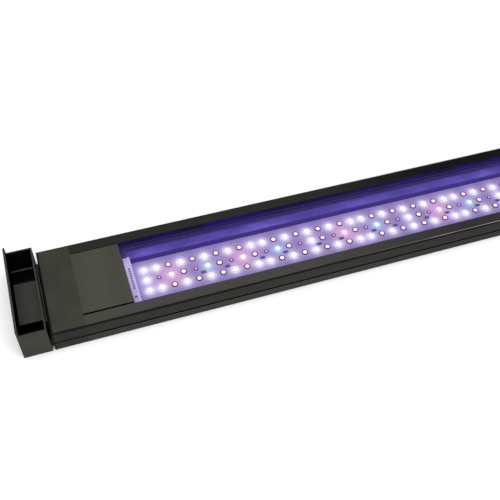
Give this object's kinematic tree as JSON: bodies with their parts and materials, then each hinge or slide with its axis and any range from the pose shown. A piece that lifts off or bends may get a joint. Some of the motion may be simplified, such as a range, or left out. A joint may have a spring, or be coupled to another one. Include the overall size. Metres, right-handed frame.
{
  "type": "led aquarium light",
  "caption": "Slim LED light bar for an aquarium, lying on its finned back, with a clear-covered LED trough and a hooked docking mount on sliding arms at each end.",
  "frame": {"origin": "centre of the base of the bounding box, on the plane of the back face the light lies on", "axes": "+X along the bar towards the end with the power inlet, +Y across it towards the side with the inlet, +Z out of the light side. In use the light is turned over, so that -Z is up"},
  "size_m": [0.9124, 0.108, 0.0419],
  "materials": {
    "anodised_housing": "dark bronze-black anodised, satin, drawn lengthwise",
    "cap_plastic": "fine-textured dark grey-brown",
    "cover_metal": "satin dark bronze coat, brushed",
    "dock_plastic": "fine-textured black-brown",
    "arm_metal": "black anodised",
    "tie_metal": "black coat on steel sheet",
    "seal_rubber": "moulded silicone",
    "clear_lens": "clear acrylic",
    "led_board_white": "white solder mask, with lit LED packages",
    "strip_plastic": "white moulding",
    "screw_steel": "plain",
    "shoe_plastic": "natural acetal",
    "circuit_board": "solder mask over glass-epoxy",
    "black_plastic": "moulded",
    "winding_copper": "varnished copper winding",
    "terminal_plastic": "moulded",
    "contact_brass": "plain",
    "wire_red": "insulation",
    "wire_black": "insulation"
  },
  "bodies": {
    "housing": {"bay_board_left": "circuit_board", "bay_board_right": "circuit_board", "bay_tray_left": "black_plastic", "bay_tray_right": "black_plastic", "cap_screw_left_front": "screw_steel", "cap_screw_left_rear": "screw_steel", "cap_screw_right_front": "screw_steel", "cap_screw_right_rear": "screw_steel", "control_module": "black_plastic", "control_plug": "terminal_plastic", "cover_plate_left": "cover_metal", "cover_plate_right": "cover_metal", "driver_capacitor": "black_plastic", "driver_inductor": "winding_copper", "driver_terminal": "terminal_plastic", "driver_transformer": "winding_copper", "end_cap_left": "cap_plastic", "end_cap_right": "cap_plastic", "end_gasket_left": "seal_rubber", "end_gasket_right": "seal_rubber", "end_strip_left": "strip_plastic", "end_strip_right": "strip_plastic", "feed_wire_left_black": "wire_black", "feed_wire_left_red": "wire_red", "feed_wire_right_black": "wire_black", "feed_wire_right_red": "wire_red", "housing_extrusion": "anodised_housing", "inlet_nut": "screw_steel", "inlet_pin": "contact_brass", "inlet_seal": "seal_rubber", "inlet_shell": "black_plastic", "inlet_wire_black": "wire_black", "inlet_wire_red": "wire_red", "led_board_left": "led_board_white", "led_board_right": "led_board_white", "lens_cover": "clear_lens", "lens_seal_left": "seal_rubber", "lens_seal_right": "seal_rubber", "strip_screw_left": "screw_steel", "strip_screw_right": "screw_steel"},
    "left_dock": {"arm_screw_left_front": "screw_steel", "arm_screw_left_rear": "screw_steel", "arm_shoe_left_front": "shoe_plastic", "arm_shoe_left_rear": "shoe_plastic", "dock_shell_left": "dock_plastic", "slide_arm_left_front": "arm_metal", "slide_arm_left_rear": "arm_metal", "tie_plate_left": "tie_metal"},
    "right_dock": {"arm_screw_right_front": "screw_steel", "arm_screw_right_rear": "screw_steel", "arm_shoe_right_front": "shoe_plastic", "arm_shoe_right_rear": "shoe_plastic", "dock_shell_right": "dock_plastic", "slide_arm_right_front": "arm_metal", "slide_arm_right_rear": "arm_metal", "tie_plate_right": "tie_metal"}
  },
  "joints": [
    {"name": "left_mount_slide", "type": "slide", "parent": "housing", "child": "left_dock", "axis": [-1, 0, 0], "range_m": [0, 0.148]},
    {"name": "right_mount_slide", "type": "slide", "parent": "housing", "child": "right_dock", "axis": [1, 0, 0], "range_m": [0, 0.148]}
  ]
}
